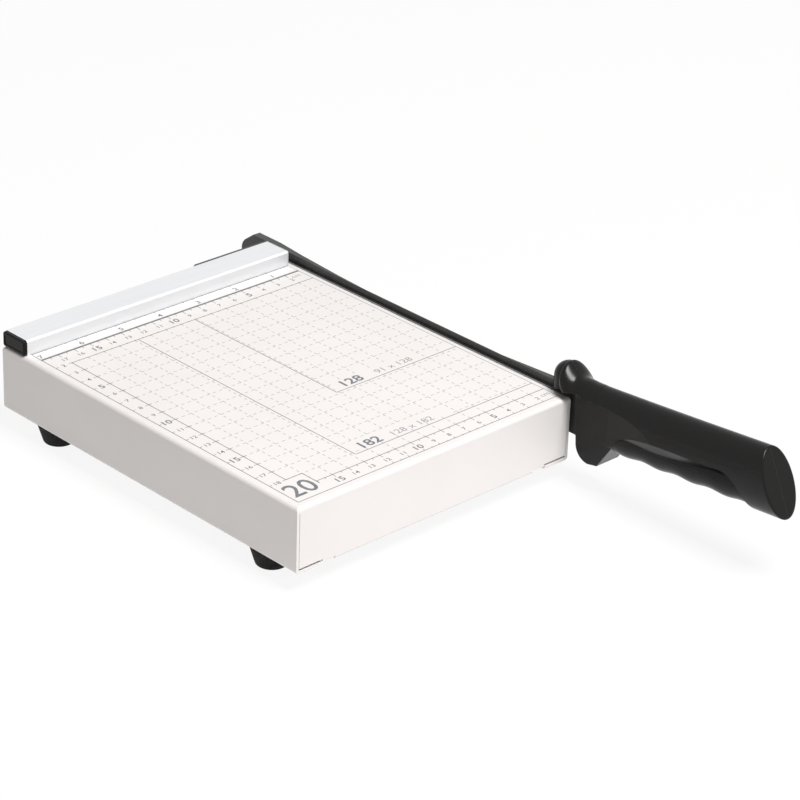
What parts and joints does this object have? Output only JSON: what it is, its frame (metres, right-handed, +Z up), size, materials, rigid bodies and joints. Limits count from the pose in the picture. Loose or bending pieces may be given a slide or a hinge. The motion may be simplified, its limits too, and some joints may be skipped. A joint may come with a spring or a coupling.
{
  "type": "business card cutter",
  "caption": "Small desk guillotine cutter: folded steel table with a metal fence, a steel edge blade, and a hinged blade arm with a moulded finger-guard handle.",
  "frame": {"origin": "centre of the bounding box in X and Y, at the underside of the feet (Z = 0 is the desk surface)", "axes": "+Z up, +Y to the rear (from the handle to the pivot), +X to the right, the side of the blade arm"},
  "size_m": [0.1938, 0.3869, 0.0652],
  "materials": {
    "white_paint": "satin",
    "black_paint": "satin",
    "satin_aluminium": "satin",
    "ground_steel": "ground",
    "zinc_steel": "zinc plated",
    "black_steel": "blackened",
    "spring_steel": "blued",
    "black_plastic": "satin",
    "light_plastic": "satin",
    "foot_rubber": "matte"
  },
  "bodies": {
    "base": {"table_shell": "white_paint", "foot_front_left": "foot_rubber", "foot_rear_left": "foot_rubber", "foot_front_right": "foot_rubber", "foot_rear_right": "foot_rubber", "foot_screws": "zinc_steel", "fence": "satin_aluminium", "fence_cap_left": "black_plastic", "fence_cap_right": "light_plastic", "fence_screws": "zinc_steel", "fixed_blade": "ground_steel", "fixed_blade_screws": "zinc_steel", "fixed_blade_nuts": "zinc_steel", "pivot_bracket": "black_paint", "bracket_screws": "zinc_steel", "bracket_nuts": "zinc_steel", "pivot_bolt": "black_steel", "pivot_spacer": "black_steel", "pivot_washer": "black_steel", "disc_springs": "spring_steel", "pivot_nut": "black_steel"},
    "arm": {"blade_arm": "black_paint", "handle_left_half": "black_plastic", "handle_right_half": "black_plastic", "handle_screws": "zinc_steel"}
  },
  "joints": [
    {"name": "arm_hinge", "type": "hinge", "parent": "base", "child": "arm", "pos_m": [0.08662, 0.1824, 0.036], "axis": [-1, 0, 0], "range_deg": [0, 60]}
  ]
}
